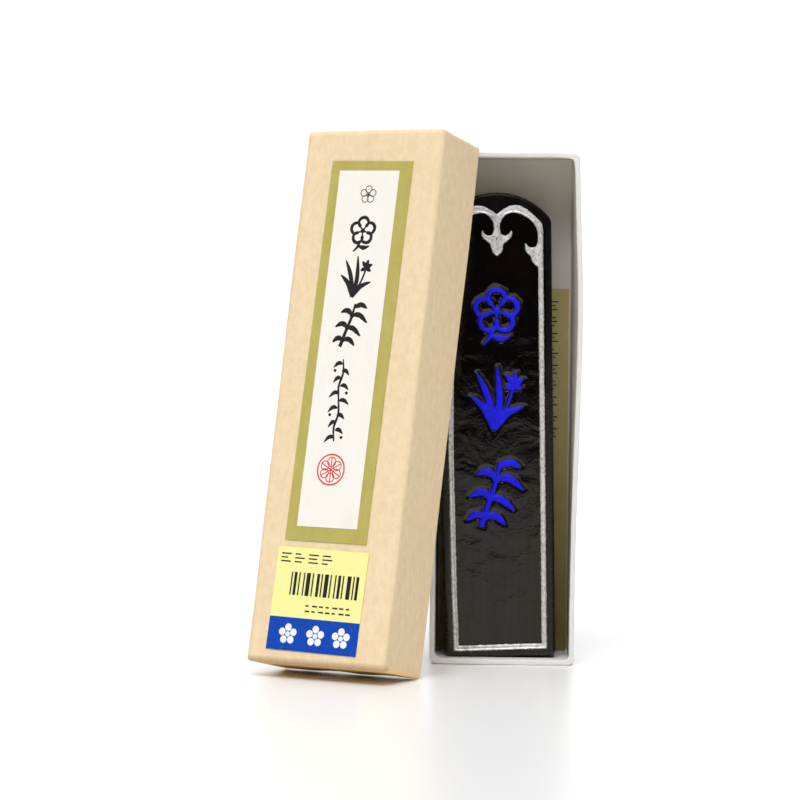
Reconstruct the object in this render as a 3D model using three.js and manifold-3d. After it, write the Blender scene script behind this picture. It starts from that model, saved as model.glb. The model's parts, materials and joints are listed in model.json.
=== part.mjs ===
// A moulded ink stick standing in its paper-covered tray, with the tray's lid leaning against it.
// Millimetres, +Z up. Origin: centre of the tray's foot, on the surface it stands on.
// +X is to the right and +Y points away from the tray's open side.
import * as THREE from 'three';
import { mergeVertices } from 'three/addons/utils/BufferGeometryUtils.js';
import Module from 'manifold-3d';

const wasm = await Module();
wasm.setup();

// Rigid set-up boxes: chipboard panels, paper stays round the corners, one cover paper turned over the rim
const TRAY = { width: 27.4, depth: 16.0, height: 98.0 };
const LID = { width: 29.6, depth: 14.4, height: 100.8 };
const WALL = 1.0;
const PAPER = 0.12;
const STAY = 0.08;
const STAY_LEG = 6.0;
const GLUE = 0.03;
const STAY_SPACE = STAY + 2 * GLUE;
const BOARD_OUT = PAPER + STAY_SPACE;
const BOARD_IN = WALL - PAPER - GLUE;

// The lid stands on its rim's lower edge, turned and leaning on the tray's front left corner
const LID_YAW = THREE.MathUtils.degToRad(27.94);
const LID_LEAN = THREE.MathUtils.degToRad(12.05);
const LID_ALONG = 19.6;
const LEAN_GAP = 0.35;

// Ink stick
const STICK = { width: 20.9, height: 89.1, depth: 9.8, archRadius: 12.95 };
const STICK_BEVEL = 0.6;
const STICK_CORNER = 1.0;
const SHOULDER_SOFT = 0.45;
const STICK_SET_BACK = 3.3;
const STICK_SIDE = -0.18;
const STICK_TILT = THREE.MathUtils.degToRad(1.1);
const STAND_GAP = 0.05;
const BORDER_RAISE = 0.25;
const RECESS_DEPTH = 0.5;
const INLAY_SUNK = 0.1;
const INLAY_GAP = 0.04;

// Silver border on the stick's front
const BORDER_OUT = 8.85;
const BORDER_IN = 7.85;
const BORDER_FOOT = 1.3;
const BORDER_LINE = 1.05;

// Papers: the slip behind the stick, and the labels on the lid's face
const LABEL = 0.08;
const SLIP = { width: 24.8, height: 70.8, thickness: 0.1, lift: 0.1 };
const LABELS = [
  { name: 'label_mount', at: [-0.02, 58.85], size: [17.5, 72.0], turn: -0.6, layer: 0, color: 0xcdbe5f },
  { name: 'label_strip', at: [-0.2, 59.25], size: [12.9, 67.5], turn: -0.3, layer: 1, color: 0xf7f5ee },
  { name: 'price_sticker', at: [-0.7, 11.9], size: [19.35, 19.2], turn: -1.1, layer: 0, color: 0xfffa96 },
];

const BOARD_LOOK = { color: 0x8f8b82, roughness: 0.95, metalness: 0 };
const STAY_LOOK = { color: 0xd8cfb8, roughness: 0.9, metalness: 0 };
const WHITE_PAPER = { color: 0xeceae6, roughness: 0.75, metalness: 0 };
const BEIGE_PAPER = { color: 0xf0d5a8, roughness: 0.85, metalness: 0 };
const SLIP_PAPER = { color: 0xb59a55, roughness: 0.85, metalness: 0 };
const INK = { color: 0x14110f, roughness: 0.22, metalness: 0 };
const SILVER_PAINT = { color: 0xb9b9b4, roughness: 0.45, metalness: 0.6 };
const BLUE_PAINT = { color: 0x1d1ed6, roughness: 0.5, metalness: 0 };

function toSolid(geometry) {
  const bare = geometry.clone();
  bare.deleteAttribute('normal');
  bare.deleteAttribute('uv');
  const merged = mergeVertices(bare, 1e-5);
  return new wasm.Manifold(new wasm.Mesh({
    numProp: 3,
    vertProperties: new Float32Array(merged.attributes.position.array),
    triVerts: new Uint32Array(merged.index.array),
  }));
}

function toGeometry(solid) {
  const mesh = solid.getMesh();
  const geometry = new THREE.BufferGeometry();
  geometry.setAttribute('position', new THREE.BufferAttribute(mesh.vertProperties, 3));
  geometry.setIndex(new THREE.BufferAttribute(mesh.triVerts, 1));
  geometry.computeVertexNormals();
  return geometry;
}

function piece(name, shape, look) {
  const geometry = shape.isBufferGeometry ? shape : toGeometry(shape);
  const mesh = new THREE.Mesh(geometry, new THREE.MeshStandardMaterial(look));
  mesh.name = name;
  return mesh;
}

function slab([x0, x1], [y0, y1], [z0, z1]) {
  const geometry = new THREE.BoxGeometry(x1 - x0, y1 - y0, z1 - z0);
  geometry.translate((x0 + x1) / 2, (y0 + y1) / 2, (z0 + z1) / 2);
  return geometry;
}

function joined(geometries) {
  return geometries.map(toSolid).reduce((whole, next) => whole.add(next));
}

// Extrudes a drawing made in x and z, from y = back forward to y = front
function standing(shapes, front, back, bevel = 0, curveSegments = 12) {
  const geometry = new THREE.ExtrudeGeometry(shapes, {
    depth: back - front - 2 * bevel,
    bevelEnabled: bevel > 0,
    bevelThickness: bevel,
    bevelSize: bevel,
    bevelOffset: -bevel,
    bevelSegments: 3,
    curveSegments,
  });
  geometry.rotateX(Math.PI / 2);
  geometry.translate(0, back - bevel, 0);
  return geometry;
}

// ---- Rigid boxes -------------------------------------------------------------------------------
// A box stands on its lower end, its open side facing -Y and its base at +Y.
// Each wall's board is held in a folded run of the cover paper: outside, over the rim, and inside.

function sideWall(prefix, size, side, sign, look) {
  const half = size.width / 2;
  const rim = -size.depth / 2;
  const base = size.depth / 2;
  const across = (a, b) => (sign > 0 ? [a, b] : [-b, -a]);
  const cover = joined([
    slab(across(half - PAPER, half), [rim, base - PAPER - GLUE], [0, size.height]),
    slab(across(half - WALL, half), [rim, rim + PAPER], [0, size.height]),
    slab(across(half - WALL, half - WALL + PAPER), [rim, base - WALL - GLUE],
      [WALL + GLUE, size.height - WALL - GLUE]),
  ]);
  const board = slab(across(half - BOARD_IN, half - BOARD_OUT),
    [rim + PAPER + GLUE, base - BOARD_IN - GLUE], [BOARD_OUT, size.height - BOARD_OUT]);
  return [
    piece(`${prefix}_${side}_cover`, cover, look),
    piece(`${prefix}_${side}_board`, board, BOARD_LOOK),
  ];
}

function endWall(prefix, size, side, sign, look) {
  const half = size.width / 2;
  const rim = -size.depth / 2;
  const base = size.depth / 2;
  const inner = half - WALL - GLUE;
  const up = (a, b) => (sign < 0 ? [a, b] : [size.height - b, size.height - a]);
  const cover = joined([
    slab([PAPER + GLUE - half, half - PAPER - GLUE],
      [rim + PAPER + GLUE, base - PAPER - GLUE], up(0, PAPER)),
    slab([-inner, inner], [rim, base - PAPER - GLUE], up(0, PAPER)),
    slab([-inner, inner], [rim, rim + PAPER], up(0, WALL)),
    slab([-inner, inner], [rim, base - WALL - GLUE], up(WALL - PAPER, WALL)),
  ]);
  const boardHalf = half - BOARD_IN - GLUE;
  const board = slab([-boardHalf, boardHalf],
    [rim + PAPER + GLUE, base - BOARD_IN - GLUE], up(BOARD_OUT, BOARD_IN));
  return [
    piece(`${prefix}_${side}_cover`, cover, look),
    piece(`${prefix}_${side}_board`, board, BOARD_LOOK),
  ];
}

function basePanel(prefix, size, look) {
  const half = size.width / 2;
  const base = size.depth / 2;
  const linerHalf = half - BOARD_IN - GLUE;
  return [
    piece(`${prefix}_base_cover`, slab([-half, half], [base - PAPER, base], [0, size.height]), look),
    piece(`${prefix}_base_board`, slab([BOARD_OUT - half, half - BOARD_OUT],
      [base - BOARD_IN, base - BOARD_OUT], [BOARD_OUT, size.height - BOARD_OUT]), BOARD_LOOK),
    piece(`${prefix}_base_liner`, slab([-linerHalf, linerHalf], [base - WALL, base - WALL + PAPER],
      [BOARD_IN + GLUE, size.height - BOARD_IN - GLUE]), look),
  ];
}

// A strip of paper folded round the outside of a corner of the boards, under the cover paper
function cornerStay(prefix, size, side, sideSign, end, endSign) {
  const outer = size.width / 2 - PAPER - GLUE;
  const across = (a, b) => (sideSign > 0 ? [a, b] : [-b, -a]);
  const up = (a, b) => (endSign < 0 ? [a, b] : [size.height - b, size.height - a]);
  const run = [-size.depth / 2 + PAPER + GLUE, size.depth / 2 - WALL];
  const foot = PAPER + GLUE;
  const stay = joined([
    slab(across(outer - STAY, outer), run, up(foot, foot + STAY_LEG)),
    slab(across(outer - STAY_LEG, outer), run, up(foot, foot + STAY)),
  ]);
  return piece(`${prefix}_stay_${end}_${side}`, stay, STAY_LOOK);
}

const ENDS = [['foot', -1], ['top', 1]];

function rigidBox(prefix, size, sides, ends, look) {
  const box = new THREE.Group();
  for (const [side, sign] of sides) box.add(...sideWall(prefix, size, side, sign, look));
  for (const [end, sign] of ends) box.add(...endWall(prefix, size, end, sign, look));
  box.add(...basePanel(prefix, size, look));
  for (const [side, sideSign] of sides) {
    for (const [end, endSign] of ends) box.add(cornerStay(prefix, size, side, sideSign, end, endSign));
  }
  return box;
}

function makeTray() {
  const tray = rigidBox('tray', TRAY, [['left', -1], ['right', 1]], ENDS, WHITE_PAPER);
  const back = TRAY.depth / 2 - WALL - GLUE;
  const foot = WALL + SLIP.lift;
  tray.add(piece('caution_slip', slab([-SLIP.width / 2, SLIP.width / 2], [back - SLIP.thickness, back],
    [foot, foot + SLIP.height]), SLIP_PAPER));
  return tray;
}

function makeLid() {
  const box = rigidBox('lid', LID, [['left', 1], ['right', -1]], ENDS, BEIGE_PAPER);
  box.rotation.z = Math.PI;
  box.position.set(LID.width / 2, -LID.depth / 2, 0);

  const leaning = new THREE.Group();
  leaning.add(box);
  for (const { name, at, size, turn, layer, color } of LABELS) {
    const mesh = piece(name, new THREE.BoxGeometry(size[0], LABEL, size[1]),
      { color, roughness: 0.8, metalness: 0 });
    const proud = GLUE + LABEL / 2 + layer * (LABEL + GLUE);
    mesh.position.set(LID.width / 2 + at[0], -LID.depth - proud, at[1]);
    mesh.rotation.y = -THREE.MathUtils.degToRad(turn);
    leaning.add(mesh);
  }
  leaning.rotation.x = -LID_LEAN;

  // Where the rim's lower left corner stands, so that the rim just clears the tray's corner
  const climb = (TRAY.height + LEAN_GAP * Math.sin(LID_LEAN)) / Math.cos(LID_LEAN);
  const reach = climb * Math.sin(LID_LEAN) + LEAN_GAP * Math.cos(LID_LEAN);
  const lid = new THREE.Group();
  lid.add(leaning);
  lid.rotation.z = -LID_YAW;
  lid.position.set(
    -TRAY.width / 2 - LID_ALONG * Math.cos(LID_YAW) - reach * Math.sin(LID_YAW),
    -TRAY.depth / 2 + LID_ALONG * Math.sin(LID_YAW) - reach * Math.cos(LID_YAW),
    0,
  );
  return lid;
}

// ---- Ink stick ---------------------------------------------------------------------------------

function stickOutline() {
  const half = STICK.width / 2;
  const arch = STICK.archRadius;
  const archCentre = STICK.height - arch;
  const shoulder = archCentre + Math.sqrt(arch * arch - half * half);
  const shape = new THREE.Shape();
  shape.moveTo(-half + STICK_CORNER, 0);
  shape.lineTo(half - STICK_CORNER, 0);
  shape.quadraticCurveTo(half, 0, half, STICK_CORNER);
  shape.lineTo(half, shoulder - STICK_CORNER);
  const start = Math.acos((half - SHOULDER_SOFT) / arch);
  const end = [arch * Math.cos(start), archCentre + arch * Math.sin(start)];
  shape.quadraticCurveTo(half, shoulder, end[0], end[1]);
  shape.absarc(0, archCentre, arch, start, Math.PI - start, false);
  shape.quadraticCurveTo(-half, shoulder, -half, shoulder - STICK_CORNER);
  shape.lineTo(-half, STICK_CORNER);
  shape.quadraticCurveTo(-half, 0, -half + STICK_CORNER, 0);
  return shape;
}

// Adds runs of smooth curve to a drawing; the runs meet in sharp points
function addRuns(path, runs) {
  for (const run of runs) path.splineThru(run.map(([x, z]) => new THREE.Vector2(x, z)));
}

function mirrored(runs, start) {
  const points = [start, ...runs.flat()];
  const lengths = runs.map((run) => run.length);
  const back = points.reverse().map(([x, z]) => [-x, z]);
  const out = [];
  let next = 1;
  for (const length of lengths.reverse()) {
    out.push(back.slice(next, next + length));
    next += length;
  }
  return out;
}

// An ogee head of two lobes that meet in a cusp, with a three-lobed finial and a leaf at each side
function borderShape() {
  const outerRuns = [
    [[BORDER_OUT, 45], [BORDER_OUT, 81.9]],
    [[8.62, 83.2], [7.6, 84.3], [6.6, 85.2], [5.55, 86.0], [4.5, 86.5], [3.5, 86.65], [2.5, 86.5],
      [1.5, 86.0], [0.75, 85.55], [0, 84.95]],
  ];
  const innerRuns = [
    [[BORDER_IN, 45], [BORDER_IN, 74.8]],
    [[7.1, 75.4], [6.6, 76.1], [6.35, 77.0]],
    [[5.75, 77.5], [5.4, 78.25], [5.4, 79.4]],
    [[5.9, 78.85], [6.45, 78.55], [7.05, 78.55], [7.55, 78.85], [7.82, 79.7], [7.84, 81.2], [7.5, 82.4],
      [6.85, 83.35], [6.0, 84.1], [4.9, 84.8], [3.6, 85.2], [2.4, 85.1], [1.5, 84.6], [0.85, 83.75],
      [0.6, 82.7], [0.65, 81.7], [1.1, 80.95], [1.8, 80.9], [2.4, 81.3], [2.75, 81.9]],
    [[2.95, 81.2], [2.75, 80.6], [2.15, 80.0], [1.3, 79.35]],
    [[1.1, 78.5], [0.75, 77.55], [0, 77.0]],
  ];
  const outerFoot = [BORDER_OUT, BORDER_FOOT];
  const innerFoot = [BORDER_IN, BORDER_FOOT + BORDER_LINE];

  const shape = new THREE.Shape();
  shape.moveTo(...outerFoot);
  addRuns(shape, outerRuns);
  addRuns(shape, mirrored(outerRuns, outerFoot));
  shape.closePath();
  const field = new THREE.Path();
  field.moveTo(...innerFoot);
  addRuns(field, innerRuns);
  addRuns(field, mirrored(innerRuns, innerFoot));
  field.closePath();
  shape.holes.push(field);
  return shape;
}

// A brush stroke along a smooth line: widths are its breadth at even steps from start to end
function stroke(points, widths, grow, steps = 14) {
  const line = new THREE.SplineCurve(points.map(([x, z]) => new THREE.Vector2(x, z)));
  const left = [];
  const right = [];
  for (let i = 0; i <= steps; i += 1) {
    const t = i / steps;
    const at = line.getPoint(t);
    const along = line.getTangent(t);
    const place = t * (widths.length - 1);
    const k = Math.min(Math.floor(place), widths.length - 2);
    const half = THREE.MathUtils.lerp(widths[k], widths[k + 1], place - k) / 2 + grow;
    const aside = new THREE.Vector2(-along.y, along.x);
    if (i === 0) at.addScaledVector(along, -grow);
    if (i === steps) at.addScaledVector(along, grow);
    left.push(at.clone().addScaledVector(aside, half));
    right.push(at.clone().addScaledVector(aside, -half));
  }
  return new THREE.Shape([...right, ...left.reverse()]);
}

function disc(x, z, radius) {
  return new THREE.Shape().absarc(x, z, radius, 0, 2 * Math.PI, false);
}

function blossom(grow) {
  const [x, z] = [-0.2, 66.4];
  const ring = 2.45;
  const petal = 1.7;
  const shapes = [disc(x, z, 0.75 + grow)];
  for (let k = 0; k < 5; k += 1) {
    const aim = Math.PI / 2 + (2 * Math.PI * k) / 5;
    const centre = [x + ring * Math.cos(aim), z + ring * Math.sin(aim)];
    const round = [];
    for (let j = 0; j <= 8; j += 1) {
      const turn = aim + THREE.MathUtils.degToRad(-142 + (284 * j) / 8);
      round.push([centre[0] + petal * Math.cos(turn), centre[1] + petal * Math.sin(turn)]);
    }
    shapes.push(stroke(round, [0.5, 0.95, 1.1, 0.95, 0.5], grow, 20));
    const thread = aim + Math.PI / 5;
    const tip = [x + 1.9 * Math.cos(thread), z + 1.9 * Math.sin(thread)];
    shapes.push(stroke([[x, z], tip], [0.5, 0.5], grow, 2));
  }
  shapes.push(stroke([[-0.9, 63.4], [-1.4, 61.6], [-2.9, 60.0]], [0.8, 0.9, 0.4], grow, 8));
  shapes.push(stroke([[-1.3, 61.8], [0.6, 61.2], [2.6, 61.7]], [0.5, 1.5, 0.3], grow, 10));
  return shapes;
}

function orchid(grow) {
  const foot = [-0.9, 43.6];
  const leaf = [0.9, 1.5, 1.3, 0.3];
  const shapes = [
    stroke([foot, [-2.6, 47.6], [-5.3, 50.2]], leaf, grow),
    stroke([foot, [-1.9, 49.6], [-4.1, 54.6]], leaf, grow),
    stroke([foot, [0.2, 49.0], [-0.2, 55.9]], leaf, grow),
    stroke([foot, [1.6, 46.7], [4.9, 48.1]], leaf, grow),
    stroke([foot, [1.5, 47.9], [2.9, 51.8]], [0.7, 0.6, 0.6], grow, 10),
  ];
  for (const aim of [20, 75, 130, 215, 320]) {
    const turn = THREE.MathUtils.degToRad(aim);
    const tip = [2.9 + 2.1 * Math.cos(turn), 52.6 + 2.1 * Math.sin(turn)];
    shapes.push(stroke([[2.9, 52.4], tip], [0.6, 1.3, 0.4], grow, 8));
  }
  return shapes;
}

function bamboo(grow) {
  const shapes = [
    stroke([[-3.6, 24.8], [-2.1, 29.4], [-0.7, 33.4], [0.2, 37.6]], [1.2, 1.0, 0.9, 0.6], grow),
  ];
  for (const [x, z] of [[-2.9, 26.9], [-1.7, 30.6], [-0.5, 34.2]]) shapes.push(disc(x, z, 0.85 + grow));
  const leaves = [
    [[-2.9, 26.9], [-4.6, 27.4], [-6.2, 26.2]],
    [[-1.7, 30.6], [-3.6, 31.7], [-5.8, 30.7]],
    [[-1.7, 30.6], [0.4, 30.2], [2.9, 28.0]],
    [[-2.9, 26.9], [-0.7, 27.0], [1.2, 25.2]],
    [[-0.5, 34.2], [-2.3, 35.6], [-4.4, 35.0]],
    [[-0.5, 34.2], [2.0, 34.2], [4.7, 31.9]],
    [[0.0, 36.4], [2.2, 37.3], [4.2, 36.2]],
  ];
  for (const leaf of leaves) shapes.push(stroke(leaf, [0.5, 1.6, 1.4, 0.3], grow, 12));
  return shapes;
}

function merged(shapes, front, back) {
  return joined(shapes.map((shape) => standing(shape, front, back)));
}

function makeStick() {
  const stick = new THREE.Group();
  const inlays = { blue_inlay_blossom: blossom, blue_inlay_orchid: orchid, blue_inlay_bamboo: bamboo };
  let body = toSolid(standing(stickOutline(), 0, STICK.depth, STICK_BEVEL));
  for (const [name, draw] of Object.entries(inlays)) {
    body = body.subtract(merged(draw(INLAY_GAP), -1, RECESS_DEPTH));
    stick.add(piece(name, merged(draw(0), INLAY_SUNK, RECESS_DEPTH - INLAY_GAP), BLUE_PAINT));
  }
  stick.add(piece('ink_body', body, INK));
  const ridge = standing(borderShape(), -BORDER_RAISE - GLUE, -GLUE, 0, 4);
  stick.add(piece('silver_border', ridge, SILVER_PAINT));
  const lift = WALL + STAND_GAP + (STICK.width / 2) * Math.sin(STICK_TILT);
  stick.position.set(STICK_SIDE, -TRAY.depth / 2 + STICK_SET_BACK, lift);
  stick.rotation.y = -STICK_TILT;
  return stick;
}

const object = new THREE.Group();
object.add(makeTray(), makeLid(), makeStick());
export default object;
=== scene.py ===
"""Looks for a boxed ink stick: the stick in its white tray, and the beige lid leaning on it."""

import json
import math

import bmesh
import bpy
import numpy as np
from mathutils import Matrix, Vector, noise
from mathutils.kdtree import KDTree

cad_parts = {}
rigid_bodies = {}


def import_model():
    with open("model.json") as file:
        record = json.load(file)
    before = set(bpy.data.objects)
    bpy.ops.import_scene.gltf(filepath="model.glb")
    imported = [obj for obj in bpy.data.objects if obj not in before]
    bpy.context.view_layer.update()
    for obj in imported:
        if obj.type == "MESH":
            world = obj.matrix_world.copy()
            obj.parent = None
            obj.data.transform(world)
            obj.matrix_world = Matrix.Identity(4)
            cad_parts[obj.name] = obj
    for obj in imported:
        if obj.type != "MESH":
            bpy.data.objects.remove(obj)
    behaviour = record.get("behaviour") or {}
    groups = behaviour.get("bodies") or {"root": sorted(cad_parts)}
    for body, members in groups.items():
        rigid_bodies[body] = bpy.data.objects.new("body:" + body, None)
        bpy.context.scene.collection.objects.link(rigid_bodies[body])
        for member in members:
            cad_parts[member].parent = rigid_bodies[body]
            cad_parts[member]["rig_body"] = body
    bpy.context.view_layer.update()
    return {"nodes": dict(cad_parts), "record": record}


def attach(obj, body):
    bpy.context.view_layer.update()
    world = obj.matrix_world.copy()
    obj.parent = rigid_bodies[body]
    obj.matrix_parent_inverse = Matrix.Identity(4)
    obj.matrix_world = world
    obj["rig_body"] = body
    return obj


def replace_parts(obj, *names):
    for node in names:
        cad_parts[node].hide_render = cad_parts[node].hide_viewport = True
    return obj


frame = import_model()
nodes = frame["nodes"]

MM = 0.001
SAME_SPOT = 1e-7

# Camera: focal length for a 36 mm sensor, place and turn in the row frame
LENS = 152.17
CAMERA_AT = Vector((0.968, -652.99, 79.26)) * MM
CAMERA_YAW = math.radians(-1.854)
CAMERA_PITCH = math.radians(-2.544)
CAMERA_ROLL = math.radians(0.466)

# Stage and light
RING_RADIUS = 2.8
RING_HEIGHT = 3.0
FLOOR_HALF = 3.0
FLOOR_DROP = 2e-5
FLOOR_SHADE = (0.94, 0.94, 0.94)
FLOOR_ROUGHNESS = 0.32
WALL_GLOW = 1.15
CARD_Y = -0.61
CARD_HALF = 0.6
CARD_HEIGHT = 0.5
CARD_SHADE = (0.004, 0.004, 0.004)
ROOM_LOW = 0.08
ROOM_HIGH = 1.04
ROOM_FADE = (0.3, 0.85)
KEY_STRENGTH = 1.82
KEY_TOWARD = Vector((-0.08, -0.55, 0.83))
KEY_SPREAD = math.radians(35)

# The boxes' cover paper, in millimetres
WALL = 1.0
RIM_EDGE = 0.3
INNER_FILLET = 0.3
GUSSET_DEPTH = 1.6
TRAY_EDGE = 0.9
TRAY_CORNERS = (1.25, 1.0, 1.2, 1.8)
TRAY_TURN = 0.9
LID_EDGE = 1.15
LID_CORNERS = (0.7, 0.7, 0.7, 0.7)
LID_TURN = 0.7
BOARD_COVER = 0.13

# Bends of the boxes' walls, in millimetres. A bulge is its height, where it is highest as a share
# of the box's height, and its reach.
TRAY_WANDER = 0.09
RIGHT_BULGE = (1.15, 0.66, 30)
LEFT_BULGE = (0.25, 0.2, 35)
CORNER_DENT = Vector((-0.2, 0.2, -0.25))
CORNER_REACH = 6
LID_WANDER = 0.16
LID_LIFT = 0.04
LID_TOP_RISE = 0.27
LID_TOP_SLOPE = 0.16
LID_FOOT_WAVE = 0.28

# The ink stick's relief, in millimetres
BODY_VOXEL = 0.2
BORDER_VOXEL = 0.09
INLAY_VOXEL = 0.1
RECESS_EDGE = 0.22
RECESS_SLOPE = 0.8
RECESS_STEEP = 0.2
INLAY_SWELL = 0.08
RIDGE_HEIGHT = 0.34
RIDGE_DIP = 0.4
FOOT_TILT = 0.024
FOOT_DROP = 0.3
BOW_HEIGHTS = (3, 12, 22, 32, 40, 50, 62, 76)
BOW_AMOUNTS = (0.25, 0.5, 0.66, 0.76, 0.86, 0.76, 0.35, 0.0)
PRINT_LIFT = 0.004
PRINT_THICK = 0.012

# Plain bars on the price sticker: their lengths by column and row, and its upright bars
TEXT_ROWS = ((2.1, 1.4, 2.1), (1.5, 2.1, 1.2), (2.1, 1.8, 2.1), (1.2, 2.1, 1.7))
BAR_WIDTHS = (0.35, 0.7, 0.35, 0.35, 1.0, 0.35, 0.7, 0.35,
              1.0, 0.35, 0.35, 0.7, 0.35, 1.0, 0.35, 0.7)
BAR_GAPS = (0.35, 0.4, 0.7, 0.35, 0.4, 0.7, 0.35, 0.4, 0.35, 0.7, 0.4, 0.35, 0.7, 0.4, 0.35, 0)


# ---- Camera ------------------------------------------------------------------------------------

def make_camera():
    data = bpy.data.cameras.new("camera")
    data.lens = LENS
    data.sensor_width = 36.0
    data.clip_start = 0.01
    camera = bpy.data.objects.new("camera", data)
    forward = Vector((math.sin(CAMERA_YAW) * math.cos(CAMERA_PITCH),
                      math.cos(CAMERA_YAW) * math.cos(CAMERA_PITCH),
                      math.sin(CAMERA_PITCH)))
    level = Vector((math.cos(CAMERA_YAW), -math.sin(CAMERA_YAW), 0.0))
    upright = level.cross(forward)
    right = level * math.cos(CAMERA_ROLL) + upright * math.sin(CAMERA_ROLL)
    up = upright * math.cos(CAMERA_ROLL) - level * math.sin(CAMERA_ROLL)
    turn = Matrix((right, up, -forward)).transposed().to_4x4()
    camera.matrix_world = Matrix.Translation(CAMERA_AT) @ turn
    bpy.context.scene.collection.objects.link(camera)
    bpy.context.scene.camera = camera


# ---- Frames of CAD pieces ----------------------------------------------------------------------

def own_frame(node):
    """The turned box that a CAD node fills: its matrix, without scale, and its size in metres.

    Its origin is at the low corner, with X along the width, Y the depth and Z the height."""
    mesh = nodes[node].data
    areas = []
    for face in mesh.polygons:
        for entry in areas:
            if abs(entry[1].dot(face.normal)) > 0.9995:
                entry[0] += face.area
                break
        else:
            areas.append([face.area, face.normal.copy()])
    areas.sort(key=lambda entry: -entry[0])
    depth = areas[0][1]
    width = min((n for _, n in areas if abs(n.dot(depth)) < 0.01), key=lambda n: abs(n.z))
    if depth.y < 0:
        depth = -depth
    if width.x < 0:
        width = -width
    height = width.cross(depth)
    if height.z < 0:
        raise ValueError(f"{node} isn't upright")
    turn = Matrix((width, depth, height)).transposed()
    corners = np.array([turn.transposed() @ v.co for v in mesh.vertices])
    low = Vector(corners.min(0))
    size = Vector(corners.max(0)) - low
    return Matrix.Translation(turn @ low) @ turn.to_4x4(), size


def new_object(name, mesh, body, material, matrix=None):
    obj = bpy.data.objects.new(name, mesh)
    bpy.context.scene.collection.objects.link(obj)
    if matrix is not None:
        obj.matrix_world = matrix
    mesh.materials.clear()
    mesh.materials.append(material)
    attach(obj, body)
    return obj


def mesh_from(name, verts, faces, smooth=True):
    mesh = bpy.data.meshes.new(name)
    mesh.from_pydata([tuple(v) for v in verts], [], faces)
    mesh.validate()
    work = bmesh.new()
    work.from_mesh(mesh)
    bmesh.ops.recalc_face_normals(work, faces=work.faces)
    work.to_mesh(mesh)
    work.free()
    mesh.polygons.foreach_set("use_smooth", [smooth] * len(mesh.polygons))
    return mesh


# ---- Materials ---------------------------------------------------------------------------------

class Look:
    """A node material around one Principled shader."""

    def __init__(self, name, color, roughness, metallic=0.0, specular=0.5):
        self.material = bpy.data.materials.new(name)
        self.material.use_nodes = True
        self.tree = self.material.node_tree
        self.shader = self.tree.nodes["Principled BSDF"]
        self.color = (*color, 1.0)
        self.shader.inputs["Base Color"].default_value = self.color
        self.shader.inputs["Roughness"].default_value = roughness
        self.shader.inputs["Metallic"].default_value = metallic
        self.shader.inputs["Specular IOR Level"].default_value = specular
        self.place = self.node("ShaderNodeTexCoord").outputs["Object"]

    def node(self, kind, **values):
        made = self.tree.nodes.new(kind)
        for key, value in values.items():
            setattr(made, key, value)
        return made

    def link(self, source, target):
        self.tree.links.new(source, target)

    def noise(self, scale, stretch, detail, rough=0.55, warp=0.0):
        """A noise pattern: its scale, how each axis is stretched, detail, roughness and warp."""
        mapping = self.node("ShaderNodeMapping")
        mapping.inputs["Scale"].default_value = stretch
        self.link(self.place, mapping.inputs["Vector"])
        texture = self.node("ShaderNodeTexNoise")
        texture.inputs["Scale"].default_value = scale
        texture.inputs["Detail"].default_value = detail
        texture.inputs["Roughness"].default_value = rough
        texture.inputs["Distortion"].default_value = warp
        self.link(mapping.outputs["Vector"], texture.inputs["Vector"])
        return texture.outputs["Fac"]

    def axis(self, name):
        split = self.node("ShaderNodeSeparateXYZ")
        self.link(self.place, split.inputs[0])
        return split.outputs[name]

    def times(self, value, other):
        product = self.node("ShaderNodeMath", operation="MULTIPLY")
        self.link(value, product.inputs[0])
        self.link(other, product.inputs[1])
        return product.outputs[0]

    def spread(self, value, low, high, to_low, to_high):
        ramp = self.node("ShaderNodeMapRange")
        ramp.inputs["From Min"].default_value = low
        ramp.inputs["From Max"].default_value = high
        ramp.inputs["To Min"].default_value = to_low
        ramp.inputs["To Max"].default_value = to_high
        self.link(value, ramp.inputs["Value"])
        return ramp.outputs["Result"]

    def tint(self, amount, other):
        """Mixes the colour so far towards another, by a value from 0 to 1."""
        mix = self.node("ShaderNodeMix", data_type="RGBA")
        target = self.shader.inputs["Base Color"]
        if target.is_linked:
            self.link(target.links[0].from_socket, mix.inputs[6])
        else:
            mix.inputs[6].default_value = self.color
        mix.inputs[7].default_value = (*other, 1.0)
        self.link(amount, mix.inputs[0])
        self.link(mix.outputs[2], target)

    def mottle(self, other, between, amount, *pattern):
        """Mixes in another colour where a noise pattern rises from one bound to the other."""
        self.tint(self.spread(self.noise(*pattern), *between, 0, amount), other)

    def vary_roughness(self, between, values, *pattern):
        value = self.spread(self.noise(*pattern), *between, *values)
        self.link(value, self.shader.inputs["Roughness"])

    def grain(self, distance, strength, *pattern):
        """Raises and lowers the surface by a noise pattern, by this distance in metres at most."""
        bump = self.node("ShaderNodeBump")
        bump.inputs["Strength"].default_value = strength
        bump.inputs["Distance"].default_value = distance
        self.link(self.noise(*pattern), bump.inputs["Height"])
        target = self.shader.inputs["Normal"]
        if target.is_linked:
            self.link(target.links[0].from_socket, bump.inputs["Normal"])
        self.link(bump.outputs["Normal"], target)


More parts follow.
